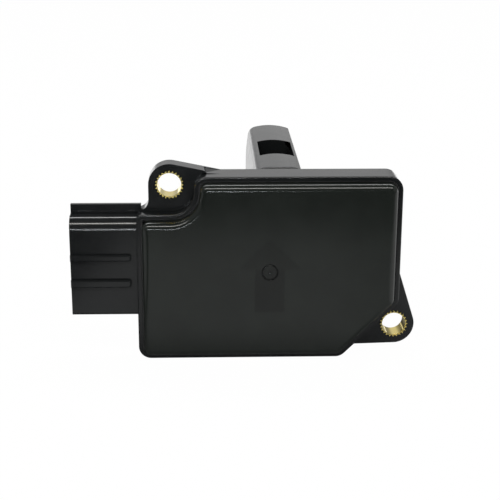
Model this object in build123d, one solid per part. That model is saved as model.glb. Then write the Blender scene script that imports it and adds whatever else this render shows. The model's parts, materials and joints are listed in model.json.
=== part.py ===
from build123d import *
import math
import os

# Plug-in mass airflow sensor. Its moulded housing seats on an air duct and reaches into it
# with a flat probe. Air passes through the probe and over three sensing elements. A glued
# lid closes the electronics well, and a socket on the left side takes the wiring plug.
#
# Millimetres, +Z up. The origin lies on the seating face, midway between the two screw
# holes. +Y points into the duct along the probe, the lid faces -Y, and the air flows along
# +Z. Heights are measured from the seating face towards the lid, and depths from it into
# the duct.

# Screw holes and ears
HOLE_OFFSET_X = 31.15     # each hole is this far left or right of the origin
HOLE_OFFSET_Z = 20.25     # and this far above or below it
EAR_RADIUS = 5.7
EAR_HEIGHT = 5.2
EAR_PLATE_HEIGHT = 0.6    # thin web at the seating face that blends the upper ear in
UPPER_EAR_END = -20.9     # where the upper ear's full thickness slopes down to the body's top
UPPER_WEB_END = -17.3     # where its thin web runs out on the body's top edge
UPPER_EAR_FILLET = 3.2    # hollow corner between the upper ear and the notch floor
LOWER_WEB_END = -3.65     # where the lower ear's web runs out on the body's right side
LOWER_EAR_DROP = 0.45     # the lower ear's bottom edge slopes this far down to the body

# Brass bushings
BUSHING_LENGTH = 5.5      # they stand slightly proud of the ears, for the screw heads
BORE_RADIUS = 3.25        # M6 clearance
KNURL_RADIUS = 3.95       # over the tips of the knurl
KNURL_DEPTH = 0.4
KNURL_COUNT = 26

# Body outline
BODY_LEFT = -40.15
BODY_RIGHT = 31.8
BODY_BOTTOM = -28.6
BODY_TOP = 23.22
NOTCH_SIDE = -24.45       # the notch that leaves room for the upper screw's head
NOTCH_FLOOR = 12.85
NOTCH_RADIUS = 6.3
CORNER_CUT = 15.8         # leg of the 45 degree corner beside the lower screw
CORNER_RADIUS = 3.4
TOP_RIGHT_RADIUS = 4.0
CUT_RADIUS = 3.5          # the two blunt corners of the 45 degree cut
NOTCH_LEFT_RADIUS = 1.5
LEAST_RADIUS = 0.8        # inner outlines keep at least this corner
LEAST_STRAIGHT = 0.2      # straight left between two corner arcs of the notch

# Body heights and the wall that carries the lid
RIM_HEIGHT = 9.0
FLOOR_HEIGHT = 2.2
LIP_WIDTH = 1.15          # outer lip of the rim
TROUGH_WIDTH = 1.9        # adhesive trough between the lips
TROUGH_DEPTH = 3.0
INNER_LIP_WIDTH = 0.8     # the lid rests on this lip
RIM_ROUND = 0.4

# Lid
LID_GAP = 0.45            # between the outer lip and the lid's skirt
LID_RAISE = 2.9           # face of the lid above the rim
LID_ROUND = 1.8
LID_LEAST_RADIUS = 1.95   # corners of the lid leave room for its rounded edge
LID_THICKNESS = 1.6       # of its face, over the electronics well
SKIRT_WIDTH = 1.1
SKIRT_DEPTH = 2.3         # reach of the skirt into the trough
GATE_RADIUS = 2.3         # moulding mark in the middle of the lid
GATE_RING = 0.45
GATE_DEPTH = 0.15
GATE_CENTRE = (-4.1, -2.6)
ARROW_X = -4.1            # low arrow that shows the flow's direction
ARROW_TIP = 6.25
ARROW_SHOULDER = -1.75
ARROW_END = -13.9
ARROW_HEAD_WIDTH = 16.4
ARROW_SHAFT_WIDTH = 7.9
ARROW_RAISE = 0.12

# Connector socket: its centre line runs along -X at this z
CONNECTOR_Z = -2.0
CONNECTOR_REACH = 18.0    # from the body's left side to the mouth
CONNECTOR_WIDTH = 27.7
CONNECTOR_FRONT = 8.5     # height of its front face
CONNECTOR_BACK = 1.0      # height of its back face
CONNECTOR_ROUND = 3.5     # upper front edge
CONNECTOR_LOW_ROUND = 0.9  # lower front edge
CONNECTOR_WALL = 1.5
SOCKET_DEPTH = 13.5
SOCKET_ROUND = 1.3
WING_REACH = 2.5          # guide wing beyond the connector's upper side
WING_FRONT = 3.0          # height of its front face
WING_THICKNESS = 1.2
RIB_OFFSETS = (2.8, -4.5)  # two keying ribs on the front face, above and below the centre line
RIB_WIDTHS = (1.7, 2.1)
RIB_RAISE = 1.2
RIB_END_GAP = 1.5         # the ribs stop this far short of the body
RIB_CHAMFER = 0.35
LATCH_WIDTH = 6.0         # catch for the plug's latch, on the back face
LATCH_LENGTH = 3.0
LATCH_RAISE = 0.95
LATCH_SETBACK = 4.0       # from the mouth

# Terminals
TERMINAL_COUNT = 5
TERMINAL_PITCH = 4.5
TERMINAL_WIDTH = 1.5
TERMINAL_THICKNESS = 0.64
TERMINAL_SETBACK = 4.6    # tips lie this far inside the mouth
TERMINAL_TAPER = 1.2
TIP_SHARE = 0.35          # thickness left at the tip, as a share of the blade's
PAD_LENGTH = 2.2          # bonding pad inside the electronics well
PAD_WIDTH = 2.4
LEDGE_MARGIN = 0.3        # ledge under the pads reaches this far past them

# Spigot and seal
SPIGOT_WIDTH = 18.0
SPIGOT_LENGTH = 45.2
SPIGOT_RADIUS = 6.0
SPIGOT_DEPTH = 5.6
SPIGOT_CHAMFER = 0.6      # lead-in at its end
GROOVE_START = 2.1        # the seal lies past the lead-in of the duct's port
GROOVE_WIDTH = 2.4
GROOVE_DEPTH = 1.7
SEAL_WIDTH = 2.0
SEAL_HEIGHT = 2.0         # from the groove's bottom to the seal's crest
SEAL_CLEARANCE = 0.02     # between the relaxed seal and the groove's bottom

# Probe
PROBE_X = -0.9            # its middle plane
PROBE_WIDTH = 14.8
PROBE_CHORD = 44.7
PROBE_LENGTH = 64.5
PROBE_FLAT = 21.0         # flat middle of its sides, which curve in from there
PROBE_SIDE_DROP = 1.0     # how far each side curves in
PROBE_CREST_DROP = 1.13   # crown of its up- and downstream faces
PROBE_EDGE_ROUND = 3.0
PROBE_TIP_CHAMFER = 0.7

# Air passage through the probe, from the upstream face (-Z) to the downstream face (+Z)
PASSAGE_START = 22.6      # depth of the wall that carries the elements
PASSAGE_END = 41.4
PASSAGE_WALL = 2.75       # probe wall on the left of the passage
COVER_THICKNESS = 1.95    # cover plate on its right, in the middle
COVER_MARGIN = 3.7        # from the probe's up- and downstream faces to the cover plate
COVER_START = 10.0
COVER_END = 61.5
COVER_CORNER = 2.0
POCKET_WALL = 1.8         # walls round the moulding's cored pockets
POCKET_FLOOR = 1.6
POCKET_RADIUS = 1.0

# Sensing elements, each held between two pins; centres along z
HOT_WIRE_Z = 2.5
COLD_WIRE_Z = -5.5
THERMISTOR_Z = -13.5
PIN_SIZE = 0.8
PIN_SPACING = 5.0         # between the two pins of one element
PIN_REACH = 7.0           # beyond the passage wall
LEAD_SETBACK = 1.2        # from the pin's end to the element's lead
LEAD_SIZE = 0.35          # square section of the elements' leads
WIRE_BODY = (0.55, 2.4)   # radius and length of a wound element's body
BEAD = (1.0, 2.6)         # radius and length of the thermistor bead

# Electronics
BOARD_WIDTH = 25.4
BOARD_THICKNESS = 0.8
BOARD_MARGIN = 1.0        # above the top terminal and below the lowest pin
BASE_PLATE_THICKNESS = 1.0
BASE_PLATE_MARGIN = 0.8   # round the board
BOARD_GAP = 1.5           # from the terminals' ledge to the base plate
CONTROL_CHIP = (7.0, 7.0, 1.4)
POWER_TRANSISTOR = (6.5, 5.5, 2.2)
VOLTAGE_REGULATOR = (4.0, 3.6, 1.5)
CAPACITOR = (2.0, 1.25, 0.9)     # width, length, thickness, like the chips above
BOND_WIDTH = 0.8
BOND_THICKNESS = 0.25
BOND_RISE = 0.9
BOND_INSET = 0.8          # from the board's edge to the bond

# Worked-out places
UPPER_HOLE = (-HOLE_OFFSET_X, HOLE_OFFSET_Z)
LOWER_HOLE = (HOLE_OFFSET_X, -HOLE_OFFSET_Z)
LID_INSET = LIP_WIDTH + LID_GAP
INNER_LIP_INSET = LIP_WIDTH + TROUGH_WIDTH
WELL_INSET = INNER_LIP_INSET + INNER_LIP_WIDTH
WELL_LEFT = BODY_LEFT + WELL_INSET
TROUGH_HEIGHT = RIM_HEIGHT - TROUGH_DEPTH
SKIRT_END = RIM_HEIGHT - SKIRT_DEPTH
MOUTH_X = BODY_LEFT - CONNECTOR_REACH
SOCKET_BOTTOM_X = MOUTH_X + SOCKET_DEPTH
SOCKET_LOW = CONNECTOR_BACK + CONNECTOR_WALL
SOCKET_HIGH = CONNECTOR_FRONT - CONNECTOR_WALL
TERMINAL_HEIGHT = (SOCKET_LOW + SOCKET_HIGH) / 2
LEDGE_HEIGHT = TERMINAL_HEIGHT - TERMINAL_THICKNESS / 2
PAD_END_X = WELL_LEFT + PAD_LENGTH
PROBE_LEFT = PROBE_X - PROBE_WIDTH / 2
PROBE_RIGHT = PROBE_X + PROBE_WIDTH / 2
PASSAGE_LEFT = PROBE_LEFT + PASSAGE_WALL
PASSAGE_RIGHT = PROBE_RIGHT - COVER_THICKNESS
PASSAGE_X = (PASSAGE_LEFT + PASSAGE_RIGHT) / 2
BOARD_LEFT = PAD_END_X + LEDGE_MARGIN + BOARD_GAP + BASE_PLATE_MARGIN
BOARD_RIGHT = BOARD_LEFT + BOARD_WIDTH
BOARD_TOP = FLOOR_HEIGHT + BASE_PLATE_THICKNESS + BOARD_THICKNESS
PIN_TOP = BOARD_TOP
ELEMENT_DEPTH = PASSAGE_START + PIN_REACH - LEAD_SETBACK


# ---- Helpers

def slab(outline, low, high):
    """Solid over an (x, z) outline, between two heights in front of the seating face."""
    return extrude(Plane.XZ.offset(low) * outline, amount=high - low)


def sunk(outline, start, end):
    """Solid over an (x, z) outline, between two depths behind the seating face."""
    return slab(outline, -end, -start)


def rail(section, left, right):
    """Solid over a (y, z) section, between two places along X."""
    return extrude(Plane.YZ.offset(left) * section, amount=right - left)


def block(x_range, z_range, low, high):
    """Box between two x, two z and two heights."""
    width, length = x_range[1] - x_range[0], z_range[1] - z_range[0]
    centre = ((x_range[0] + x_range[1]) / 2, (z_range[0] + z_range[1]) / 2)
    return slab(Pos(*centre) * Rectangle(width, length), low, high)


def chip(centre, size, low):
    """Box of a given (width, length, thickness), standing at one height."""
    return slab(Pos(*centre) * Rectangle(size[0], size[1]), low, low + size[2])


def rounded_polygon(corners):
    """Face through (x, z, radius) corners."""
    face = make_face(Polyline([(x, z) for x, z, _ in corners], close=True))
    for x, z, radius in corners:
        corner = face.vertices().sort_by_distance((x, z))[0]
        face = fillet(corner, radius)
    return face


def front_edges(solid, height):
    """Edges of a solid that lie flat at one height."""
    return [edge for edge in solid.edges()
            if all(abs(vertex.Y + height) < 1e-4 for vertex in edge.vertices())
            and abs(edge.center().Y + height) < 1e-4]


# ---- Outlines shared by the housing, the lid and the sealant

def body_corners(inset, least_radius):
    """Corners of the body's outline, moved inwards by inset, each with its radius."""
    left, right = BODY_LEFT + inset, BODY_RIGHT - inset
    bottom, top = BODY_BOTTOM + inset, BODY_TOP - inset
    side, floor = NOTCH_SIDE + inset, NOTCH_FLOOR - inset
    cut = CORNER_CUT - inset * (2 - math.sqrt(2))
    corner = max(CORNER_RADIUS - inset, least_radius)
    blunt = max(CUT_RADIUS - inset, least_radius)
    hollow = min(NOTCH_RADIUS + inset, top - floor - corner - LEAST_STRAIGHT)
    return [
        (left, bottom, corner),
        (right - cut, bottom, blunt),
        (right, bottom + cut, blunt),
        (right, top, max(TOP_RIGHT_RADIUS - inset, least_radius)),
        (side, top, corner),
        (side, floor, hollow),
        (left, floor, max(NOTCH_LEFT_RADIUS - inset, least_radius)),
    ]


def body_outline(inset=0.0, least_radius=LEAST_RADIUS):
    """Outline of the body, moved inwards by inset."""
    return rounded_polygon(body_corners(inset, least_radius))


def lid_hollow_outline():
    """Sharp-cornered outline of the hollow under the lid, over the well."""
    corners = body_corners(WELL_INSET, LEAST_RADIUS)
    return make_face(Polyline([(x, z) for x, z, _ in corners], close=True))


def ring_outline(outer_inset, inner_inset):
    """Band that follows the body's outline."""
    return body_outline(outer_inset) - body_outline(inner_inset)


def upper_ear_outline():
    """Round ear with a sloping top edge that runs into the body, and a hollow left corner."""
    hole_x, hole_z = UPPER_HOLE
    left = hole_x - EAR_RADIUS
    web = [Line((left, NOTCH_FLOOR), (UPPER_WEB_END, NOTCH_FLOOR)),
           Line((UPPER_WEB_END, NOTCH_FLOOR), (UPPER_WEB_END, BODY_TOP))]
    round_end = (Pos(hole_x, hole_z) * Circle(EAR_RADIUS)).edges()
    radius = UPPER_EAR_FILLET
    corner = Pos(left - radius / 2, NOTCH_FLOOR + radius / 2) * Rectangle(radius, radius)
    corner -= Pos(left - radius, NOTCH_FLOOR + radius) * Circle(radius)
    return make_hull([*round_end, *web]) + corner


def lower_ear_outline():
    """Round ear that runs into the body's right side and its 45 degree corner."""
    hole_x, hole_z = LOWER_HOLE
    bottom = hole_z - EAR_RADIUS - LOWER_EAR_DROP
    inner_x = BODY_RIGHT - CORNER_CUT + bottom - BODY_BOTTOM - CUT_RADIUS
    web = [Line((inner_x, bottom), (inner_x, LOWER_WEB_END)),
           Line((inner_x, LOWER_WEB_END), (BODY_RIGHT, LOWER_WEB_END))]
    round_end = (Pos(hole_x, hole_z) * Circle(EAR_RADIUS)).edges()
    return make_hull([*round_end, *web])


def knurl_outline():
    """Circle with a ring of V grooves."""
    groove = Pos(KNURL_RADIUS, 0) * Rotation(0, 0, 45) * Rectangle(KNURL_DEPTH, KNURL_DEPTH)
    return Circle(KNURL_RADIUS) - PolarLocations(0, KNURL_COUNT) * groove


def probe_outline():
    """Section of the probe: sides that curve in, crowned up- and downstream faces and
    rounded edges."""
    side, crest, flat = PROBE_WIDTH / 2, PROBE_CHORD / 2, PROBE_FLAT / 2
    corner_x, corner_z = side - PROBE_SIDE_DROP, crest - PROBE_CREST_DROP
    path = []
    for sign in (1, -1):
        path.append(Line((sign * side, -flat), (sign * side, flat)))
        path.append(ThreePointArc((-corner_x, sign * corner_z), (0, sign * crest),
                                  (corner_x, sign * corner_z)))
        for across in (1, -1):
            path.append(TangentArc((across * side, sign * flat),
                                   (across * corner_x, sign * corner_z), tangent=(0, sign)))
    face = make_face(path)
    for across in (1, -1):
        for sign in (1, -1):
            corner = face.vertices().sort_by_distance((across * corner_x, sign * corner_z))[0]
            face = fillet(corner, PROBE_EDGE_ROUND)
    return Pos(PROBE_X, 0) * face


def spigot_outline(inset=0.0):
    """Rounded rectangle of the spigot, moved inwards by inset."""
    return Pos(PROBE_X, 0) * RectangleRounded(
        SPIGOT_WIDTH - 2 * inset, SPIGOT_LENGTH - 2 * inset, SPIGOT_RADIUS - inset)


def element_places():
    """Centre along z of each sensing element, by name."""
    return {"hot_wire_element": HOT_WIRE_Z,
            "cold_wire_element": COLD_WIRE_Z,
            "air_temperature_thermistor": THERMISTOR_Z}


def pin_places():
    """Place along z of every pin, from the downstream end."""
    half = PIN_SPACING / 2
    return [z + side * half for z in element_places().values() for side in (1, -1)]


def terminal_places():
    """Place along z of every terminal, from the top."""
    first = CONNECTOR_Z + TERMINAL_PITCH * (TERMINAL_COUNT - 1) / 2
    return [first - TERMINAL_PITCH * index for index in range(TERMINAL_COUNT)]


# ---- Metal pieces that the housing is moulded round

def terminal(place_z):
    """Flat contact blade with a tapered tip and a wide bonding pad."""
    tip_x = MOUTH_X + TERMINAL_SETBACK
    half = TERMINAL_THICKNESS / 2
    tip_half = half * TIP_SHARE
    blade_top = [(tip_x, tip_half), (tip_x + TERMINAL_TAPER, half), (PAD_END_X, half)]
    blade_under = [(x, -height) for x, height in reversed(blade_top)]
    side_view = make_face(Polyline(blade_top + blade_under, close=True))
    blade = extrude(side_view, TERMINAL_WIDTH / 2, both=True)
    pad = Pos(PAD_END_X - PAD_LENGTH / 2, 0, 0) * Box(PAD_LENGTH, TERMINAL_THICKNESS, PAD_WIDTH)
    return Pos(0, -TERMINAL_HEIGHT, place_z) * (blade + pad)


def pin(place_z):
    """Square pin from the electronics well into the air passage."""
    half = PIN_SIZE / 2
    return block((PASSAGE_X - half, PASSAGE_X + half), (place_z - half, place_z + half),
                 -(PASSAGE_START + PIN_REACH), PIN_TOP)


def bushing(centre):
    """Knurled brass tube in an ear."""
    return slab(Pos(*centre) * (knurl_outline() - Circle(BORE_RADIUS)), 0, BUSHING_LENGTH)


# ---- Housing

def housing_body():
    """Body with its rim, lid trough and electronics well, and the two ears."""
    body = slab(body_outline(), 0, RIM_HEIGHT)
    body = fillet(front_edges(body, RIM_HEIGHT), RIM_ROUND)
    body -= slab(ring_outline(LIP_WIDTH, INNER_LIP_INSET), TROUGH_HEIGHT, RIM_HEIGHT)
    ear = upper_ear_outline()
    thick = Polygon((BODY_LEFT, 0), (UPPER_EAR_END, 0), (UPPER_EAR_END, BODY_TOP),
                    (UPPER_EAR_END - EAR_RADIUS, BODY_TOP + EAR_RADIUS),
                    (BODY_LEFT, BODY_TOP + EAR_RADIUS), align=None)
    body += slab(ear, 0, EAR_PLATE_HEIGHT)
    body += slab(ear & thick, 0, EAR_HEIGHT)
    body += slab(lower_ear_outline(), 0, EAR_HEIGHT)
    return body - slab(body_outline(WELL_INSET), FLOOR_HEIGHT, RIM_HEIGHT)


def connector_shell():
    """Connector's outside: rounded box, guide wing, keying ribs and the latch catch."""
    height = CONNECTOR_FRONT - CONNECTOR_BACK
    section = Pos(-CONNECTOR_BACK - height / 2, CONNECTOR_Z) * Rectangle(height, CONNECTOR_WIDTH)
    low, high = section.vertices().group_by(Axis.X)[0].sort_by(Axis.Y)
    section = fillet(high, CONNECTOR_ROUND)
    section = fillet(section.vertices().sort_by_distance(low)[0], CONNECTOR_LOW_ROUND)
    shell = rail(section, MOUTH_X, BODY_LEFT + LIP_WIDTH)
    side = CONNECTOR_Z + CONNECTOR_WIDTH / 2
    wing = Pos(WING_THICKNESS / 2 - WING_FRONT, side + (WING_REACH - CONNECTOR_WALL) / 2)
    wing *= Rectangle(WING_THICKNESS, WING_REACH + CONNECTOR_WALL)
    return shell + rail(wing, MOUTH_X, BODY_LEFT + LIP_WIDTH) + keying_ribs() + latch_catch()


def keying_ribs():
    """Two ribs on the connector's front face with round inner ends."""
    ribs = []
    for offset_z, width in zip(RIB_OFFSETS, RIB_WIDTHS):
        round_x = BODY_LEFT - RIB_END_GAP - width / 2
        middle = Pos((MOUTH_X + round_x) / 2, CONNECTOR_Z + offset_z)
        outline = middle * Rectangle(round_x - MOUTH_X, width)
        outline += Pos(round_x, CONNECTOR_Z + offset_z) * Circle(width / 2)
        top = CONNECTOR_FRONT + RIB_RAISE
        rib = slab(outline, CONNECTOR_FRONT - CONNECTOR_WALL / 2, top)
        ribs.append(chamfer(front_edges(rib, top), RIB_CHAMFER))
    return ribs


def latch_catch():
    """Ramp on the connector's back face that the plug's latch snaps over."""
    start = MOUTH_X + LATCH_SETBACK
    ramp = Polygon((start, -CONNECTOR_BACK), (start + LATCH_LENGTH, -CONNECTOR_BACK),
                   (start + LATCH_LENGTH, LATCH_RAISE - CONNECTOR_BACK), align=None)
    return Pos(0, 0, CONNECTOR_Z - LATCH_WIDTH / 2) * extrude(ramp, LATCH_WIDTH)


def socket_space():
    """Space inside the connector's mouth."""
    height = SOCKET_HIGH - SOCKET_LOW
    width = CONNECTOR_WIDTH - 2 * CONNECTOR_WALL
    section = Pos(-SOCKET_LOW - height / 2, CONNECTOR_Z) * RectangleRounded(
        height, width, SOCKET_ROUND)
    return rail(section, MOUTH_X, SOCKET_BOTTOM_X)


def terminal_ledge():
    """Shelf on the well's floor that backs the bonding pads."""
    places = terminal_places()
    margin = PAD_WIDTH / 2 + LEDGE_MARGIN
    return block((WELL_LEFT, PAD_END_X + LEDGE_MARGIN),
                 (places[-1] - margin, places[0] + margin), FLOOR_HEIGHT, LEDGE_HEIGHT)


def spigot():
    """Spigot with a lead-in at its end, still without its seal groove."""
    solid = sunk(spigot_outline(), 0, SPIGOT_DEPTH)
    return chamfer(front_edges(solid, -SPIGOT_DEPTH), SPIGOT_CHAMFER)


def seal_groove():
    """Groove round the spigot and the probe's root."""
    groove = spigot_outline(GROOVE_DEPTH - SEAL_HEIGHT) - spigot_outline(GROOVE_DEPTH)
    return sunk(groove, GROOVE_START, GROOVE_START + GROOVE_WIDTH)


def probe():
    """Probe with the air passage, the cover's seat and the cored pockets."""
    solid = sunk(probe_outline(), 0, PROBE_LENGTH)
    solid = chamfer(front_edges(solid, -PROBE_LENGTH), PROBE_TIP_CHAMFER)
    solid -= block((PASSAGE_LEFT, PASSAGE_RIGHT), (-PROBE_CHORD, PROBE_CHORD),
                   -PASSAGE_END, -PASSAGE_START)
    for pocket in (tip_pocket(), root_pocket()):
        solid -= rail(pocket, PROBE_LEFT + POCKET_FLOOR, PASSAGE_RIGHT)
    return solid - cover_plate()


def cover_plate():
    """Cover that closes the passage and pockets, flush with the probe's right side."""
    width = PROBE_CHORD - 2 * COVER_MARGIN
    length = COVER_END - COVER_START
    outline = Pos((COVER_START + COVER_END) / 2, 0) * RectangleRounded(length, width,
                                                                       COVER_CORNER)
    return rail(outline, PASSAGE_RIGHT, PROBE_RIGHT) & sunk(probe_outline(), 0, PROBE_LENGTH)


def tip_pocket():
    """Outline of the cored pocket between the passage and the tip."""
    start = PASSAGE_END + POCKET_WALL
    length = COVER_END - POCKET_WALL - start
    width = PROBE_CHORD - 2 * (COVER_MARGIN + POCKET_WALL)
    return Pos(start + length / 2, 0) * RectangleRounded(length, width, POCKET_RADIUS)


def root_pocket():
    """Outline of the cored pocket downstream of the pins."""
    low = max(pin_places()) + PIN_SIZE / 2 + POCKET_WALL
    high = PROBE_CHORD / 2 - COVER_MARGIN - POCKET_WALL
    start, end = COVER_START + POCKET_WALL, PASSAGE_START - POCKET_WALL
    return Pos((start + end) / 2, (low + high) / 2) * RectangleRounded(
        end - start, high - low, POCKET_RADIUS)


def housing():
    """The one-piece moulding."""
    solid = housing_body() + connector_shell() + spigot() + probe() + terminal_ledge()
    solid -= socket_space()
    solid -= seal_groove()
    for centre in (UPPER_HOLE, LOWER_HOLE):
        solid -= slab(Pos(*centre) * knurl_outline(), 0, EAR_HEIGHT)
    for place_z in terminal_places():
        solid -= terminal(place_z)
    for place_z in pin_places():
        solid -= pin(place_z)
    return solid


# ---- Lid and seals

def arrow_outline():
    """Arrow that points downstream."""
    half_right = [(0, ARROW_TIP), (ARROW_HEAD_WIDTH / 2, ARROW_SHOULDER),
                  (ARROW_SHAFT_WIDTH / 2, ARROW_SHOULDER), (ARROW_SHAFT_WIDTH / 2, ARROW_END)]
    half_left = [(-x, z) for x, z in reversed(half_right[1:])]
    return Pos(ARROW_X, 0) * make_face(Polyline(half_right + half_left, close=True))


def lid():
    """Lid with a rounded edge, a skirt in the trough, an arrow and a moulding mark. It rests
    on the inner lip, and is hollow over the well."""
    top = RIM_HEIGHT + LID_RAISE
    solid = slab(body_outline(LID_INSET, LID_LEAST_RADIUS), SKIRT_END, top)
    solid = fillet(front_edges(solid, top), LID_ROUND)
    solid -= slab(body_outline(LID_INSET + SKIRT_WIDTH), SKIRT_END, RIM_HEIGHT)
    solid -= slab(lid_hollow_outline(), RIM_HEIGHT, top - LID_THICKNESS)
    solid += slab(arrow_outline(), top - ARROW_RAISE, top + ARROW_RAISE)
    ring = Circle(GATE_RADIUS) - Circle(GATE_RADIUS - GATE_RING)
    return solid - slab(Pos(*GATE_CENTRE) * ring, top - GATE_DEPTH, top + ARROW_RAISE)


def lid_sealant():
    """Adhesive bead in the trough, under the lid's skirt."""
    return slab(ring_outline(LIP_WIDTH, INNER_LIP_INSET), TROUGH_HEIGHT, SKIRT_END)


def seal_ring():
    """Seal in the spigot's groove."""
    start = GROOVE_START + (GROOVE_WIDTH - SEAL_WIDTH) / 2
    end = start + SEAL_WIDTH
    inset = GROOVE_DEPTH - SEAL_CLEARANCE
    return sunk(spigot_outline(inset - SEAL_HEIGHT) - spigot_outline(inset), start, end)


# ---- Sensing elements

def element(place_z, body):
    """An element's body with a lead to each of its two pins, along z."""
    leads = Box(LEAD_SIZE, LEAD_SIZE, PIN_SPACING - PIN_SIZE)
    return Pos(PASSAGE_X, ELEMENT_DEPTH, place_z) * (leads + body)


def wire_element(place_z):
    """Wound element: a slim ceramic rod."""
    return element(place_z, Cylinder(*WIRE_BODY))


def thermistor(place_z):
    """Thermistor: a glass bead."""
    return element(place_z, Cylinder(*BEAD))


# ---- Electronics

def bond(from_x, from_height, to_x, to_height, place_z):
    """Flat ribbon that arches from one pad to another along x."""
    top = max(from_height, to_height) + BOND_RISE
    half = BOND_THICKNESS
    outline = Polygon(
        (from_x - half, -from_height), (from_x - half, -top), (to_x + half, -top),
        (to_x + half, -to_height), (to_x - half, -to_height), (to_x - half, -top + half),
        (from_x + half, -top + half), (from_x + half, -from_height), align=None)
    return Pos(0, 0, place_z - BOND_WIDTH / 2) * extrude(outline, BOND_WIDTH)


def electronics():
    """Base plate, board and the components on it, by name."""
    top = terminal_places()[0] + BOARD_MARGIN
    bottom = pin_places()[-1] - BOARD_MARGIN
    margin = BASE_PLATE_MARGIN
    plate_top = FLOOR_HEIGHT + BASE_PLATE_THICKNESS
    middle_x, middle_z = (BOARD_LEFT + BOARD_RIGHT) / 2, (top + bottom) / 2
    control = (middle_x + 2.5, middle_z + 4.5)
    power = (middle_x + 1.0, middle_z - 7.0)
    regulator = (middle_x - 4.8, middle_z - 1.0)
    pieces = {
        "base_plate": block((BOARD_LEFT - margin, BOARD_RIGHT + margin),
                            (bottom - margin, top + margin), FLOOR_HEIGHT, plate_top),
        "circuit_board": block((BOARD_LEFT, BOARD_RIGHT), (bottom, top), plate_top, BOARD_TOP),
        "control_chip": chip(control, CONTROL_CHIP, BOARD_TOP),
        "power_transistor": chip(power, POWER_TRANSISTOR, BOARD_TOP),
        "voltage_regulator": chip(regulator, VOLTAGE_REGULATOR, BOARD_TOP),
    }
    for index, place_z in enumerate(terminal_places(), 1):
        spot = (BOARD_LEFT + 2 * BOND_INSET + CAPACITOR[0], place_z)
        pieces[f"capacitor_{index}"] = chip(spot, CAPACITOR, BOARD_TOP)
        pieces[f"terminal_bond_{index}"] = bond(
            PAD_END_X - PAD_LENGTH / 2, TERMINAL_HEIGHT + TERMINAL_THICKNESS / 2,
            BOARD_LEFT + BOND_INSET, BOARD_TOP, place_z)
    for index, place_z in enumerate(pin_places(), 1):
        pieces[f"pin_bond_{index}"] = bond(BOARD_RIGHT - BOND_INSET, BOARD_TOP,
                                           PASSAGE_X, PIN_TOP, place_z)
    return pieces


def all_pieces():
    """Every piece of the sensor, by name."""
    pieces = {
        "housing": housing(),
        "lid": lid(),
        "lid_sealant": lid_sealant(),
        "bushing_upper": bushing(UPPER_HOLE),
        "bushing_lower": bushing(LOWER_HOLE),
        "spigot_seal": seal_ring(),
        "passage_cover": cover_plate(),
        "hot_wire_element": wire_element(HOT_WIRE_Z),
        "cold_wire_element": wire_element(COLD_WIRE_Z),
        "air_temperature_thermistor": thermistor(THERMISTOR_Z),
    }
    for index, place_z in enumerate(terminal_places(), 1):
        pieces[f"terminal_{index}"] = terminal(place_z)
    for index, place_z in enumerate(pin_places(), 1):
        pieces[f"element_pin_{index}"] = pin(place_z)
    pieces.update(electronics())
    return pieces


os.makedirs("parts", exist_ok=True)
for name, piece in all_pieces().items():
    export_step(piece, f"parts/{name}.step")
    print(f"{name}: {piece.volume:.2f} mm3")
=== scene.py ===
"""Mass airflow sensor: finishes, bushings, seals, floor, light and camera."""

import json
import math

import bmesh
import bpy
from mathutils import Matrix, Vector


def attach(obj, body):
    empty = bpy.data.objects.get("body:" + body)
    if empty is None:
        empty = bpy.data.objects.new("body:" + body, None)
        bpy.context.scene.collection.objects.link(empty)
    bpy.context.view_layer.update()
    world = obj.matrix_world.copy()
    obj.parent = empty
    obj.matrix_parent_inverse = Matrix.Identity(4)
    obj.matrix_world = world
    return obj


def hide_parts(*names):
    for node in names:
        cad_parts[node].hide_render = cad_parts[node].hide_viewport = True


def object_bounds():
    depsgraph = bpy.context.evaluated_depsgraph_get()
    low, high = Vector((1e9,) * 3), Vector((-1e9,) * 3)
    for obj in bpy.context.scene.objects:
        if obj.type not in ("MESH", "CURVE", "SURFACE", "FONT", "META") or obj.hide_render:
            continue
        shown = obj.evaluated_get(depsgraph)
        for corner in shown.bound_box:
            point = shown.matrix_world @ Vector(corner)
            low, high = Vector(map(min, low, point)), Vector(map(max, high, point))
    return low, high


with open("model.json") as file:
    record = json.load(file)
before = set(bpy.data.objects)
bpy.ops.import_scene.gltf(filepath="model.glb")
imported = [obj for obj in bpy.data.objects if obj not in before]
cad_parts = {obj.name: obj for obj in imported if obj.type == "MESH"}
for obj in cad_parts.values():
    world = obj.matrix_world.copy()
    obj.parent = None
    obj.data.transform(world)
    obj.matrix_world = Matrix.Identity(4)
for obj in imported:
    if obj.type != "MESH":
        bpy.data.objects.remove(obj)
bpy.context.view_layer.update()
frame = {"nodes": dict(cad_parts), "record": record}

MM = 0.001


# ---- Places and sizes of the pieces, in millimetres

# Seal ring round the spigot
SPIGOT_X = -0.9
SEAL_LENGTH = 45.84
SEAL_BREADTH = 18.64
SEAL_CORNER = 6.32
SEAL_THICKNESS = 2.0
SEAL_START = 2.3
SEAL_END = 4.3
SEAL_CREST = 0.62              # rounding of the ring's section
SEAL_SHARP_ANGLE = 1.2         # radians, over which an edge of the section is rounded

# Bushings in the ears, as radii and as heights over the seating face
BORE_PLACES = ((-31.15, 20.25), (31.15, -20.25))
BORE = 3.25
BORE_CHAMFER = 0.04
BORE_CHAMFER_DEPTH = 0.10
TOOTH_TIP = 3.92
TOOTH_VALLEY = 3.33
TOOTH_DEPTH = 0.5              # how far the teeth go down into the ear
KNURL_TEETH = 24
CAVITY = 3.95                  # radius of the bushing inside the ear
EAR_FACE = 5.2
BUSHING_FRONT = 5.5
ROUGH_FACE_END = (-5.48, -5.40)    # along Y, from the rough front face to the smooth bore

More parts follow.
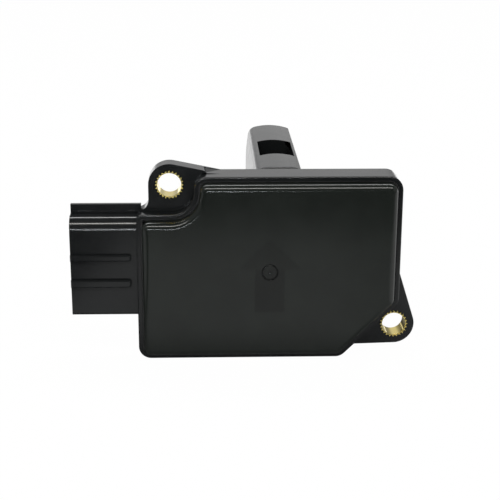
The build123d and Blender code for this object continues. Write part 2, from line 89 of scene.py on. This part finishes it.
# Collars of plastic round the bushings
COLLAR_TOP = EAR_FACE + 0.01
COLLAR_INSIDE = TOOTH_VALLEY - 0.05
COLLAR_OUTSIDE = CAVITY + 0.12
COLLAR_DEPTH = 0.45

# Arrow on the lid, drawn as painted shade in the lid's colour
ARROW_X = -4.1
ARROW_TIP = 6.25
ARROW_SHOULDER = -1.75
ARROW_END = -13.9
ARROW_SHAFT = 3.95             # half the shaft's width
ARROW_SLOPE = 1.025            # half the head's width over its length
ARROW_EDGE = 0.1               # softness of its outline, and of its head's slopes
ARROW_HEAD_EDGE = 0.15

# Round moulding mark on the lid, drawn as painted shade in the lid's colour and as a bump: its
# centre, and the radii between which its parts fade
GATE_CENTRE = (-4.1, -2.6)
GATE_RING_INSIDE = (1.85, 2.0)
GATE_RING_OUTSIDE = (2.2, 2.35)
GATE_DOT = (0.25, 0.6)

# Corners of the outer lip's inner edge, each with its radius
LIP_CORNERS = ((-39.00, -27.45, 2.25), (15.524, -27.45, 2.35), (30.65, -12.324, 2.35),
               (30.65, 22.07, 2.85), (-23.30, 22.07, 2.25), (-23.30, 11.70, 7.45),
               (-39.00, 11.70, 0.80))
GAP_WIDTH = 0.45               # between the outer lip and the lid
BEAD_TOP = 8.55                # height of the adhesive that fills the gap
BEAD_DEPTH = 1.5

# Wedge at the upper ear: its ends, its foot, its back and the heights of its top
BLEND_LEFT = -22.2
BLEND_RIGHT = -17.6
BLEND_FOOT = 23.0
BLEND_BACK = 0.55
BLEND_RIGHT_TOP = 23.23
BLEND_FRONT_TOP = 23.45
BLEND_BACK_TOP = 24.06

# Section of the probe's squarer right edge: place, and how far the tip's chamfer takes it in
EDGE_SECTION = ((5.916, 18.8, -0.69, 0.0), (5.795, 19.6, -0.69, 0.0), (5.68, 20.3, -0.69, 0.0),
                (5.58, 20.9, -0.66, -0.2), (5.51, 21.08, -0.55, -0.45), (5.37, 21.23, -0.4, -0.6),
                (5.1, 21.36, -0.2, -0.69), (4.57, 21.54, 0.0, -0.69), (3.9, 21.73, 0.0, -0.69),
                (3.3, 21.88, 0.0, -0.69), (2.6, 22.03, 0.0, -0.69), (3.4, 20.6, 0.0, 0.0),
                (5.0, 19.0, 0.0, 0.0))
EDGE_BESIDE_WINDOW = EDGE_SECTION[:8] + ((4.57, 20.2, 0.0, 0.0), (5.0, 19.0, 0.0, 0.0))
PROBE_ROOT = 5.0
WINDOW_START = 22.6
WINDOW_END = 41.4
CHAMFER_START = 63.8
PROBE_TIP = 64.49


# ---- Texture of the finishes, in millimetres, and how strong it is

MOTTLE = 9                     # flow marks in moulded plastic
MOTTLE_DEPTH = 0.004
GLOSS_PATCH = 3.5              # duller and glossier patches of moulded plastic
DRAWN_LINE = 0.12              # lines in rolled and drawn metal
BRASS_CLOUD = 2.5
BRASS_FACE_ROUGHNESS = 0.32    # added on the bushing's front face
TURNING_SCALE = 1400
TURNING_DEPTH = 0.0012
GLASS_CLOUD = 0.8
# Painted shade in the lid's colour, for the dimmer look of the arrow's relief and the moulding
# mark
ARROW_SHAFT_PAINTED_SHADE = 0.45       # how much darker than the lid the arrow's parts are
ARROW_HEAD_PAINTED_SHADE = 0.25
GATE_DOT_PAINTED_SHADE = 0.6
GATE_ROUGHNESS = 0.55
GATE_DEPTH = 0.06


# ---- Light and camera

ROOM_LIGHT = 0.42
FLOOR_COLOUR = (0.8, 0.8, 0.8, 1)
FLOOR_SIZE = 4                 # metres
FLOOR_GAP = 0.0002             # metres, under the sensor
FLOOR_WHITENESS = 0.985        # share of plain white in what the camera sees of the floor

# How bright glossy surfaces see the floor, as painted light with a painted shadow under the
# sensor:
# an axis, the brightness at two places, and the places in metres. The slant is X with a fifth of
# Y
FLOOR_SLANT = 0.2
FLOOR_ZONES = {
    "front": ("Y", 0.0, 0.46, -0.185, -0.100),
    "painted_shadow_under_body": ("Y", 1.0, 0.12, -0.045, 0.0),
    "under_right_side": ("X", 0.0, 0.9, 0.015, 0.045),
    "past_connector": ("slant", 0.0, 1.0, -0.086, -0.070),
    "right_half": ("X", 1.0, 0.55, 0.012, 0.050),
    "right_side": ("X", 0.0, 0.50, 0.030, 0.070),
    "right_start": ("Y", 0.0, 1.0, -0.130, -0.060),
    "left_side": ("X", 0.42, 0.0, -0.100, -0.078),
    "left_start": ("Y", 0.0, 1.0, -0.125, -0.070),
    "behind": ("Y", 0.0, 0.95, 0.05, 0.20),
}

# How bright they see the walls, by the direction along an axis
WALL_ZONES = {
    "backdrop": ("Y", 0.04, 0.68, 0.78, 0.93),
    "backdrop_middle": ("sideways", 1.0, 0.35, 0.12, 0.36),
    "left_wall": ("X", 0.22, 0.0, -0.75, -0.25),
    "right_wall": ("X", 0.0, 0.30, 0.4, 0.8),
}

# Elevation from the front over the top, azimuth, width and height in metres, radiance and colour
LAMPS = {
    "front_strip": (50, 0, (1.4, 0.12), 13.0, (1.0, 0.98, 0.94)),
    "top_strip": (114, 0, (1.4, 0.14), 9.5, (1.0, 1.0, 1.0)),
    "camera_side": (-2.5, -6, (0.30, 0.05), 70.0, (0.92, 0.96, 1.0)),
}
LAMP_DISTANCE = 1.0            # metres

CAMERA_PLACE = (-0.020993, -0.321932, 0.101588)
CAMERA_FORWARD = (0.0352, 0.9531, -0.3007)
CAMERA_RIGHT = (0.99936, -0.03554, 0.00438)
CAMERA_LENS = 87.13
CAMERA_SENSOR = 36


# ---- Values and colours in materials

def shader(name):
    """New material with its Principled shader, and its node tree."""
    material = bpy.data.materials.new(name)
    material.use_nodes = True
    tree = material.node_tree
    return material, tree, tree.nodes["Principled BSDF"]


def axes(tree, coordinates="Object"):
    """Place along X, Y and Z, as three values."""
    source = tree.nodes.new("ShaderNodeTexCoord")
    split = tree.nodes.new("ShaderNodeSeparateXYZ")
    tree.links.new(source.outputs[coordinates], split.inputs[0])
    return tuple(split.outputs)


def mapped(tree, shift=(0, 0, 0), stretch=(1, 1, 1)):
    """Object coordinates that stretch a pattern along an axis, or shift its centre."""
    coordinates = tree.nodes.new("ShaderNodeTexCoord")
    mapping = tree.nodes.new("ShaderNodeMapping")
    mapping.inputs["Location"].default_value = shift
    mapping.inputs["Scale"].default_value = [1 / value for value in stretch]
    tree.links.new(coordinates.outputs["Object"], mapping.inputs["Vector"])
    return mapping.outputs["Vector"]


def noise(tree, size, detail=2.0, stretch=(1, 1, 1)):
    """Noise whose features are size millimetres across, stretched along an axis."""
    texture = tree.nodes.new("ShaderNodeTexNoise")
    texture.inputs["Scale"].default_value = 1 / (size * MM)
    texture.inputs["Detail"].default_value = detail
    tree.links.new(mapped(tree, stretch=stretch), texture.inputs["Vector"])
    return texture.outputs["Fac"]


def spread(tree, value, low, high, start=0.3, end=0.7):
    """Value between start and end, spread from low to high."""
    node = tree.nodes.new("ShaderNodeMapRange")
    node.interpolation_type = "SMOOTHSTEP"
    node.inputs["From Min"].default_value = start
    node.inputs["From Max"].default_value = end
    node.inputs["To Min"].default_value = low
    node.inputs["To Max"].default_value = high
    tree.links.new(value, node.inputs["Value"])
    return node.outputs["Result"]


def fade(tree, value, low, high, span):
    """Place within a span in millimetres, spread from low to high."""
    return spread(tree, value, low, high, span[0] * MM, span[1] * MM)


def around(place, softness):
    """Span about a place."""
    return place - softness, place + softness


def tint(tree, value, dark, light):
    """Colour between two colours."""
    node = tree.nodes.new("ShaderNodeMix")
    node.data_type = "RGBA"
    node.inputs["A"].default_value = (*dark, 1)
    node.inputs["B"].default_value = (*light, 1)
    tree.links.new(value, node.inputs["Factor"])
    return node.outputs["Result"]


def reckon(tree, operation, first, second=0.0):
    """One sum from two values, each a number or another node's output."""
    node = tree.nodes.new("ShaderNodeMath")
    node.operation = operation
    for value, socket in zip((first, second), node.inputs):
        if isinstance(value, (int, float)):
            socket.default_value = value
        else:
            tree.links.new(value, socket)
    return node.outputs[0]


def product(tree, result, *others):
    """Values multiplied together."""
    for other in others:
        result = reckon(tree, "MULTIPLY", result, other)
    return result


def total(tree, result, *others):
    """Values added together."""
    for other in others:
        result = reckon(tree, "ADD", result, other)
    return result


def relief(tree, principled, heights):
    """Bumps from pairs of a height pattern and its depth in millimetres."""
    normal = None
    for pattern, depth in heights:
        bump = tree.nodes.new("ShaderNodeBump")
        bump.inputs["Strength"].default_value = 1.0
        bump.inputs["Distance"].default_value = depth * MM
        tree.links.new(pattern, bump.inputs["Height"])
        if normal is not None:
            tree.links.new(normal, bump.inputs["Normal"])
        normal = bump.outputs["Normal"]
    tree.links.new(normal, principled.inputs["Normal"])


# ---- Finishes

def uneven_gloss(tree, roughness):
    """Roughness of moulded plastic, with duller and glossier patches."""
    return spread(tree, noise(tree, GLOSS_PATCH, 4), roughness * 0.88, roughness * 1.14)


def moulded_plastic(name, colour, roughness, grain, depth):
    """Glass-filled moulded plastic: mottled black with a fine grain and flow-in unevenness."""
    material, tree, principled = shader(name)
    mottle = noise(tree, MOTTLE, 3)
    dark = [value * 0.8 for value in colour]
    light = [value * 1.25 for value in colour]
    tree.links.new(tint(tree, mottle, dark, light), principled.inputs["Base Color"])
    tree.links.new(uneven_gloss(tree, roughness), principled.inputs["Roughness"])
    relief(tree, principled, [(mottle, MOTTLE_DEPTH), (noise(tree, grain), depth)])
    return material


def metal(name, colour, roughness, stretch, depth, patch=4):
    """Metal with fine drawn or rolled lines along one axis and slightly uneven tarnish."""
    material, tree, principled = shader(name)
    principled.inputs["Metallic"].default_value = 1.0
    cloud = noise(tree, patch, 3)
    dark = [value * 0.86 for value in colour]
    tree.links.new(tint(tree, cloud, dark, colour), principled.inputs["Base Color"])
    rough = spread(tree, cloud, roughness * 0.8, roughness * 1.3)
    tree.links.new(rough, principled.inputs["Roughness"])
    relief(tree, principled, [(noise(tree, DRAWN_LINE, 2, stretch), depth)])
    return material


def dull(name, colour, roughness, grain, depth, vary=0.12):
    """Ceramic, epoxy, rubber or adhesive: matt and lightly grained."""
    material, tree, principled = shader(name)
    cloud = noise(tree, grain * 9, 3)
    fine = noise(tree, grain, 3)
    dark = [value * (1 - vary) for value in colour]
    light = [min(1, value * (1 + vary)) for value in colour]
    tree.links.new(tint(tree, cloud, dark, light), principled.inputs["Base Color"])
    rough = spread(tree, fine, roughness * 0.9, min(1, roughness * 1.1))
    tree.links.new(rough, principled.inputs["Roughness"])
    relief(tree, principled, [(fine, depth)])
    return material


def turned_rings(tree, x, z):
    """Rings left by turning, round one bore."""
    rings = tree.nodes.new("ShaderNodeTexWave")
    rings.wave_type = "RINGS"
    rings.rings_direction = "Y"
    rings.inputs["Scale"].default_value = TURNING_SCALE
    rings.inputs["Distortion"].default_value = 0.4
    tree.links.new(mapped(tree, (-x * MM, 0, -z * MM)), rings.inputs["Vector"])
    return rings.outputs["Fac"]


def turned_brass():
    """Brass of the bushings: bright and smooth in the bore, rougher on the front face."""
    material, tree, principled = shader("turned_brass")
    principled.inputs["Metallic"].default_value = 1.0
    cloud = noise(tree, BRASS_CLOUD, 3)
    colour = tint(tree, cloud, (0.88, 0.70, 0.20), (0.97, 0.82, 0.31))
    tree.links.new(colour, principled.inputs["Base Color"])
    _, y, _ = axes(tree)
    front = fade(tree, y, BRASS_FACE_ROUGHNESS, 0.0, ROUGH_FACE_END)
    rough = total(tree, spread(tree, cloud, 0.10, 0.17), front)
    tree.links.new(rough, principled.inputs["Roughness"])
    relief(tree, principled, [(turned_rings(tree, x, z), TURNING_DEPTH) for x, z in BORE_PLACES])
    return material


def amber_glass():
    """Glass bead of the thermistor."""
    material, tree, principled = shader("amber_glass")
    cloud = noise(tree, GLASS_CLOUD)
    colour = tint(tree, cloud, (0.42, 0.17, 0.05), (0.62, 0.34, 0.13))
    tree.links.new(colour, principled.inputs["Base Color"])
    principled.inputs["Transmission Weight"].default_value = 0.45
    tree.links.new(spread(tree, cloud, 0.06, 0.14), principled.inputs["Roughness"])
    return material


def arrow_painted_shade(tree, x, z):
    """How much painted shade the arrow lays on the lid: its shaft, and its head above the
    shoulder.
    """
    aside = reckon(tree, "ABSOLUTE", reckon(tree, "SUBTRACT", x, ARROW_X * MM))
    side = around(ARROW_SHAFT, ARROW_EDGE)
    foot = around(ARROW_END, ARROW_EDGE)
    shoulder = around(ARROW_SHOULDER, ARROW_EDGE)
    shaft = product(tree, fade(tree, aside, ARROW_SHAFT_PAINTED_SHADE, 0.0, side),
                    fade(tree, z, 0.0, 1.0, foot), fade(tree, z, 1.0, 0.0, shoulder))
    slope = total(tree, aside, product(tree, z, ARROW_SLOPE))
    slope_side = around(ARROW_TIP * ARROW_SLOPE, ARROW_HEAD_EDGE)
    head = product(tree, fade(tree, slope, ARROW_HEAD_PAINTED_SHADE, 0.0, slope_side),
                   fade(tree, z, 0.0, 1.0, shoulder))
    return total(tree, shaft, head)


def gate_painted_shade(tree, x, z):
    """Painted shade of the round moulding mark: a ring with a dot in it."""
    across = reckon(tree, "SUBTRACT", x, GATE_CENTRE[0] * MM)
    along = reckon(tree, "SUBTRACT", z, GATE_CENTRE[1] * MM)
    square = total(tree, product(tree, across, across), product(tree, along, along))
    away = reckon(tree, "SQRT", square)
    ring = product(tree, fade(tree, away, 0.0, 1.0, GATE_RING_INSIDE),
                   fade(tree, away, 1.0, 0.0, GATE_RING_OUTSIDE))
    return reckon(tree, "MAXIMUM", ring, fade(tree, away, GATE_DOT_PAINTED_SHADE, 0.0, GATE_DOT))


def lid_finish(colour, roughness, grain, depth):
    """The lid's plastic, with painted shade on the low arrow and on the moulding mark, which is
    also sunk.
    """
    material, tree, principled = shader("lid_plastic")
    mottle = noise(tree, MOTTLE, 3)
    x, _, z = axes(tree)
    gate = gate_painted_shade(tree, x, z)
    off_gate = reckon(tree, "SUBTRACT", 1.0, gate)
    off_arrow = reckon(tree, "SUBTRACT", 1.0, arrow_painted_shade(tree, x, z))
    # Random mottle, times the painted shade of the arrow and the moulding mark
    shade = product(tree, spread(tree, mottle, 0.45, 0.55), product(tree, off_arrow, off_gate))
    bright = [value * 2 for value in colour]
    tree.links.new(tint(tree, shade, (0, 0, 0), bright), principled.inputs["Base Color"])
    rough = reckon(tree, "MAXIMUM", uneven_gloss(tree, roughness),
                   product(tree, gate, GATE_ROUGHNESS))
    tree.links.new(rough, principled.inputs["Roughness"])
    relief(tree, principled, [(mottle, MOTTLE_DEPTH), (noise(tree, grain), depth),
                              (off_gate, GATE_DEPTH)])
    return material


finishes = {
    "housing_plastic": moulded_plastic("housing_plastic", (0.0085, 0.0095, 0.0100), 0.16, 0.30,
                                       0.0006),
    "lid_plastic": lid_finish((0.0095, 0.0118, 0.0102), 0.16, 0.26, 0.0010),
    "sealant": dull("sealant", (0.035, 0.035, 0.035), 0.5, 0.3, 0.01),
    "brass": turned_brass(),
    "seal_rubber": dull("seal_rubber", (0.022, 0.022, 0.023), 0.42, 0.15, 0.003),
    "tinned_contact": metal("tinned_contact", (0.74, 0.74, 0.71), 0.3, (30, 1, 1), 0.0006),
    "nickel_pin": metal("nickel_pin", (0.66, 0.64, 0.60), 0.26, (1, 30, 1), 0.0006),
    "bond_aluminium": metal("bond_aluminium", (0.84, 0.84, 0.85), 0.28, (20, 1, 1), 0.0006, 1.5),
    "plate_aluminium": metal("plate_aluminium", (0.72, 0.72, 0.74), 0.38, (1, 1, 40), 0.001, 8),
    "board_ceramic": dull("board_ceramic", (0.80, 0.80, 0.75), 0.6, 0.12, 0.002, 0.05),
    "chip_epoxy": dull("chip_epoxy", (0.028, 0.028, 0.030), 0.55, 0.08, 0.003),
    "capacitor_ceramic": dull("capacitor_ceramic", (0.42, 0.29, 0.18), 0.5, 0.1, 0.002),
    "element_glaze": dull("element_glaze", (0.72, 0.69, 0.58), 0.3, 0.1, 0.002),
    "thermistor_glass": amber_glass(),
}

for row in frame["record"]["subparts"]:
    node = frame["nodes"][row["node"]]
    for place in node.material_slots:
        place.material = finishes[row["material_slot"]]


# ---- New pieces

def placed(name, data):
    """New object in the scene."""
    made = bpy.data.objects.new(name, data)
    bpy.context.collection.objects.link(made)
    return made


def piece(name, mesh, finish):
    """Object from a finished bmesh, in the row's frame, riding on the body."""
    data = bpy.data.meshes.new(name)
    bmesh.ops.recalc_face_normals(mesh, faces=mesh.faces)
    mesh.to_mesh(data)
    mesh.free()
    data.materials.append(finishes[finish])
    made = placed(name, data)
    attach(made, "root")
    return made


def smooth(made, angle=40):
    """Smooth shading with edges over an angle kept sharp."""
    made.data.shade_smooth()
    made.data.set_sharp_from_angle(angle=math.radians(angle))


def raised(mesh, faces, height):
    """Flat faces drawn out by height along -Y."""
    drawn = bmesh.ops.extrude_face_region(mesh, geom=faces)
    moved = [item for item in drawn["geom"] if isinstance(item, bmesh.types.BMVert)]
    bmesh.ops.translate(mesh, verts=moved, vec=(0, -height, 0))
    return [item for item in drawn["geom"] if isinstance(item, bmesh.types.BMFace)]


def band(mesh, width, height):
    """Flat face made a band along its own edge, of a width and height in millimetres."""
    bmesh.ops.inset_region(mesh, faces=mesh.faces[:], thickness=width * MM,
                           use_even_offset=True, use_boundary=True)
    inner = max(mesh.faces, key=lambda face: face.calc_area())
    bmesh.ops.delete(mesh, geom=[inner], context="FACES")
    raised(mesh, mesh.faces[:], height * MM)


def rounded_corner(mesh, x, z, radius, turn):
    """Rounds one corner of a flat face. Turn is the angle between its two edges' directions."""
    corner = min(mesh.verts, key=lambda vert: math.hypot(vert.co.x - x * MM, vert.co.z - z * MM))
    bmesh.ops.bevel(mesh, geom=[corner], offset=radius * MM * math.tan(turn / 2), segments=10,
                    profile=0.5, affect="VERTICES", material=-1)


def toothed_loop(verts, tip, valley, height):
    """Puts a loop's points at the radius of the teeth's tips and valleys by turns."""
    for vert in verts:
        angle = math.atan2(vert.co.z, vert.co.x)
        radius = valley if round(angle / math.pi * KNURL_TEETH) % 2 else tip
        vert.co = Vector((radius * math.cos(angle), -height, radius * math.sin(angle))) * MM


def ring_mesh(centre, loops):
    """Closed ring round a bore. Each loop has its tip radius, valley radius and height."""
    mesh = bmesh.new()
    bmesh.ops.create_circle(mesh, segments=2 * KNURL_TEETH, radius=BORE * MM,
                            matrix=Matrix.Rotation(math.radians(90), 4, "X"))
    edges = mesh.edges[:]
    toothed_loop(mesh.verts, *loops[0])
    for loop in loops[1:] + loops[:1]:
        drawn = bmesh.ops.extrude_edge_only(mesh, edges=edges)["geom"]
        edges = [item for item in drawn if isinstance(item, bmesh.types.BMEdge)]
        toothed_loop([item for item in drawn if isinstance(item, bmesh.types.BMVert)], *loop)
    bmesh.ops.remove_doubles(mesh, verts=mesh.verts, dist=0.01 * MM)
    bmesh.ops.translate(mesh, verts=mesh.verts, vec=(centre[0] * MM, 0, centre[1] * MM))
    return mesh


def bushing(name, node, centre):
    """Brass bushing with a coarse knurl whose teeth show round its front end."""
    rim = BORE + BORE_CHAMFER
    foot = EAR_FACE - TOOTH_DEPTH
    mesh = ring_mesh(centre, [
        (BORE, BORE, 0.0), (BORE, BORE, BUSHING_FRONT - BORE_CHAMFER_DEPTH),
        (rim, rim, BUSHING_FRONT), (TOOTH_TIP, TOOTH_VALLEY, BUSHING_FRONT),
        (TOOTH_TIP, TOOTH_VALLEY, foot), (CAVITY, CAVITY, foot), (CAVITY, CAVITY, 0.0)])
    made = piece(name, mesh, "brass")
    smooth(made, 20)
    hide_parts(node)


def collar(name, centre):
    """Ring of the housing's plastic that closes round a bushing's teeth."""
    foot = COLLAR_TOP - COLLAR_DEPTH
    mesh = ring_mesh(centre, [
        (COLLAR_INSIDE, COLLAR_INSIDE, COLLAR_TOP), (COLLAR_OUTSIDE, COLLAR_OUTSIDE, COLLAR_TOP),
        (COLLAR_OUTSIDE, COLLAR_OUTSIDE, foot), (COLLAR_INSIDE, COLLAR_INSIDE, foot)])
    smooth(piece(name, mesh, "housing_plastic"), 30)


def ear_blend():
    """Small wedge that runs the upper ear's top edge out on the body."""
    mesh = bmesh.new()
    bmesh.ops.create_cube(mesh, size=1)
    for vert in mesh.verts:
        at_left, at_front, at_top = vert.co.x < 0, vert.co.y < 0, vert.co.z > 0
        left_top = BLEND_FRONT_TOP if at_front else BLEND_BACK_TOP
        top = left_top if at_left else BLEND_RIGHT_TOP
        vert.co = ((BLEND_LEFT if at_left else BLEND_RIGHT) * MM,
                   -(EAR_FACE if at_front else BLEND_BACK) * MM,
                   (top if at_top else BLEND_FOOT) * MM)
    smooth(piece("ear_blend", mesh, "housing_plastic"), 30)


def add_edge(mesh, section, start, end, side):
    """Prism of a section between two depths, and on to the chamfered tip if it gets there."""
    corners = [mesh.verts.new((x * MM, start * MM, side * z * MM)) for x, z, _, _ in section]
    faces = raised(mesh, [mesh.faces.new(corners)], (start - end) * MM)
    if end < CHAMFER_START:
        return
    inner = faces
    faces = raised(mesh, inner, (end - PROBE_TIP) * MM)
    bmesh.ops.delete(mesh, geom=inner, context="FACES")
    for vert in faces[0].verts:
        _, _, x_in, z_in = min(section, key=lambda corner: math.hypot(
            corner[0] * MM - vert.co.x, side * corner[1] * MM - vert.co.z))
        vert.co += Vector((x_in, 0, side * z_in)) * MM


def probe_edges():
    """Squarer edges on the right of the probe, up- and downstream."""
    for name, side in (("upper", 1), ("lower", -1)):
        mesh = bmesh.new()
        add_edge(mesh, EDGE_SECTION, PROBE_ROOT, WINDOW_START, side)
        add_edge(mesh, EDGE_BESIDE_WINDOW, WINDOW_START, WINDOW_END, side)
        add_edge(mesh, EDGE_SECTION, WINDOW_END, CHAMFER_START, side)
        smooth(piece("probe_edge_" + name, mesh, "housing_plastic"), 30)


def sealant_bead():
    """Adhesive squeezed up into the gap between the outer lip and the lid."""
    mesh = bmesh.new()
    level = -(BEAD_TOP - BEAD_DEPTH) * MM
    mesh.faces.new([mesh.verts.new((x * MM, level, z * MM)) for x, z, _ in LIP_CORNERS])
    for index, (x, z, radius) in enumerate(LIP_CORNERS):
        before = Vector(LIP_CORNERS[index - 1][:2])
        after = Vector(LIP_CORNERS[(index + 1) % len(LIP_CORNERS)][:2])
        turn = (Vector((x, z)) - before).angle(after - Vector((x, z)))
        rounded_corner(mesh, x, z, radius, turn)
    band(mesh, GAP_WIDTH, BEAD_DEPTH)
    smooth(piece("sealant_bead", mesh, "sealant"))


def seal_ring():
    """Rubber seal with a rounded crest, round the spigot."""
    mesh = bmesh.new()
    bmesh.ops.create_grid(mesh, x_segments=1, y_segments=1, size=0.5)
    turn = Matrix.Rotation(math.radians(90), 4, "X")
    scale = Matrix.Diagonal((SEAL_BREADTH * MM, 1, SEAL_LENGTH * MM, 1))
    shift = Matrix.Translation((SPIGOT_X * MM, SEAL_END * MM, 0))
    bmesh.ops.transform(mesh, matrix=shift @ scale @ turn, verts=mesh.verts)
    bmesh.ops.bevel(mesh, geom=mesh.verts[:], offset=SEAL_CORNER * MM, segments=16,
                    profile=0.5, affect="VERTICES", material=-1)
    band(mesh, SEAL_THICKNESS, SEAL_END - SEAL_START)
    bmesh.ops.recalc_face_normals(mesh, faces=mesh.faces)
    long_edges = [edge for edge in mesh.edges if edge.calc_face_angle(0) > SEAL_SHARP_ANGLE]
    bmesh.ops.bevel(mesh, geom=long_edges, offset=SEAL_CREST * MM, segments=5,
                    profile=0.5, affect="EDGES", material=-1)
    made = piece("seal_ring", mesh, "seal_rubber")
    smooth(made, 60)
    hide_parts("spigot_seal")


seal_ring()
sealant_bead()
ear_blend()
probe_edges()
for name, centre in zip(("upper", "lower"), BORE_PLACES):
    bushing("knurled_bushing_" + name, "bushing_" + name, centre)
    collar("bushing_collar_" + name, centre)


# ---- Floor, light and camera

def zone_levels(tree, zones, values):
    """Brightness of each zone, from the value along its axis."""
    return {name: spread(tree, values[axis], *levels) for name, (axis, *levels) in zones.items()}


def light_path(tree):
    """Light path, and one for the rays from the camera and through glass, which see white."""
    path = tree.nodes.new("ShaderNodeLightPath")
    seen = reckon(tree, "MAXIMUM", path.outputs["Is Camera Ray"],
                  path.outputs["Is Transmission Ray"])
    return path, seen


def mixed(tree, share, first, second):
    """Shader between two shaders."""
    mix = tree.nodes.new("ShaderNodeMixShader")
    tree.links.new(share, mix.inputs["Fac"])
    tree.links.new(first.outputs[0], mix.inputs[1])
    tree.links.new(second.outputs[0], mix.inputs[2])
    return mix


def floor_finish():
    """Pale matt floor, seen as white, and in reflections as a glowing sheet of painted light
    zones with a painted shadow under the sensor.
    """
    material = bpy.data.materials.new("pale_floor")
    material.use_nodes = True
    tree = material.node_tree
    tree.nodes.clear()
    lit = tree.nodes.new("ShaderNodeBsdfDiffuse")
    lit.inputs["Color"].default_value = FLOOR_COLOUR
    white = tree.nodes.new("ShaderNodeEmission")
    white.inputs["Strength"].default_value = 1.0
    sheet = tree.nodes.new("ShaderNodeEmission")
    x, y, _ = axes(tree)
    slant = total(tree, x, product(tree, y, FLOOR_SLANT))
    zone = zone_levels(tree, FLOOR_ZONES, {"X": x, "Y": y, "slant": slant})
    # Painted shadow under the sensor, lifted towards its right side
    under = reckon(tree, "MAXIMUM", zone["painted_shadow_under_body"], zone["under_right_side"])
    middle = product(tree, zone["past_connector"], zone["right_half"])
    near = product(tree, zone["front"], under, middle)
    left = product(tree, zone["left_side"], zone["left_start"])
    right = product(tree, zone["right_side"], zone["right_start"])
    level = total(tree, near, total(tree, left, right), zone["behind"])
    tree.links.new(level, sheet.inputs["Strength"])
    path, seen = light_path(tree)
    reflected = mixed(tree, path.outputs["Is Glossy Ray"], lit, sheet)
    mix = mixed(tree, product(tree, seen, FLOOR_WHITENESS), reflected, white)
    output = tree.nodes.new("ShaderNodeOutputMaterial")
    tree.links.new(mix.outputs[0], output.inputs["Surface"])
    return material


def studio_floor():
    """Floor just under the sensor."""
    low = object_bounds()[0]
    mesh = bmesh.new()
    bmesh.ops.create_grid(mesh, x_segments=1, y_segments=1, size=FLOOR_SIZE)
    bmesh.ops.translate(mesh, verts=mesh.verts, vec=(0, 0, low[2] - FLOOR_GAP))
    data = bpy.data.meshes.new("floor")
    mesh.to_mesh(data)
    mesh.free()
    data.materials.append(floor_finish())
    floor = placed("floor", data)


def studio_world():
    """White backdrop behind the sensor and dimmer walls on the other sides."""
    world = bpy.data.worlds.new("studio")
    bpy.context.scene.world = world
    world.use_nodes = True
    tree = world.node_tree
    tree.nodes.clear()
    x, y, _ = axes(tree, "Generated")
    sideways = reckon(tree, "ABSOLUTE", x)
    zone = zone_levels(tree, WALL_ZONES, {"X": x, "Y": y, "sideways": sideways})
    room, walls, white = (tree.nodes.new("ShaderNodeBackground") for _ in range(3))
    for background in (room, walls, white):
        background.inputs["Color"].default_value = (1, 1, 1, 1)
    room.inputs["Strength"].default_value = ROOM_LIGHT
    backdrop = product(tree, zone["backdrop"], zone["backdrop_middle"])
    sides = total(tree, zone["left_wall"], zone["right_wall"])
    tree.links.new(total(tree, backdrop, sides), walls.inputs["Strength"])
    path, seen = light_path(tree)
    lit = mixed(tree, path.outputs["Is Glossy Ray"], room, walls)
    mix = mixed(tree, seen, lit, white)
    output = tree.nodes.new("ShaderNodeOutputWorld")
    tree.links.new(mix.outputs[0], output.inputs["Surface"])


def lamp(name, elevation, azimuth, size, radiance, colour):
    """Area lamp aimed at the sensor."""
    data = bpy.data.lights.new(name, "AREA")
    data.shape = "RECTANGLE"
    data.size, data.size_y = size
    data.energy = radiance * math.pi * size[0] * size[1]
    data.color = colour
    made = placed(name, data)
    up, side = math.radians(elevation), math.radians(azimuth)
    away = Vector((0, -math.cos(up), math.sin(up)))
    away.rotate(Matrix.Rotation(side, 3, "Z"))
    made.location = away * LAMP_DISTANCE
    across = Vector((1, 0, 0))
    across.rotate(Matrix.Rotation(side, 3, "Z"))
    turn = Matrix((across, away.cross(across), away)).transposed()
    made.rotation_euler = turn.to_euler()
    made.visible_camera = False


def camera():
    """Camera above the lid's side, looking along the probe."""
    data = bpy.data.cameras.new("camera")
    data.sensor_width = CAMERA_SENSOR
    data.lens = CAMERA_LENS
    made = placed("camera", data)
    forward = Vector(CAMERA_FORWARD).normalized()
    up = Vector(CAMERA_RIGHT).cross(forward).normalized()
    right = forward.cross(up)
    turn = Matrix((right, up, -forward)).transposed()
    made.matrix_world = Matrix.Translation(CAMERA_PLACE) @ turn.to_4x4()
    bpy.context.scene.camera = made


studio_floor()
studio_world()
for name, settings in LAMPS.items():
    lamp(name, *settings)
camera()
bpy.context.scene.view_settings.view_transform = "Standard"
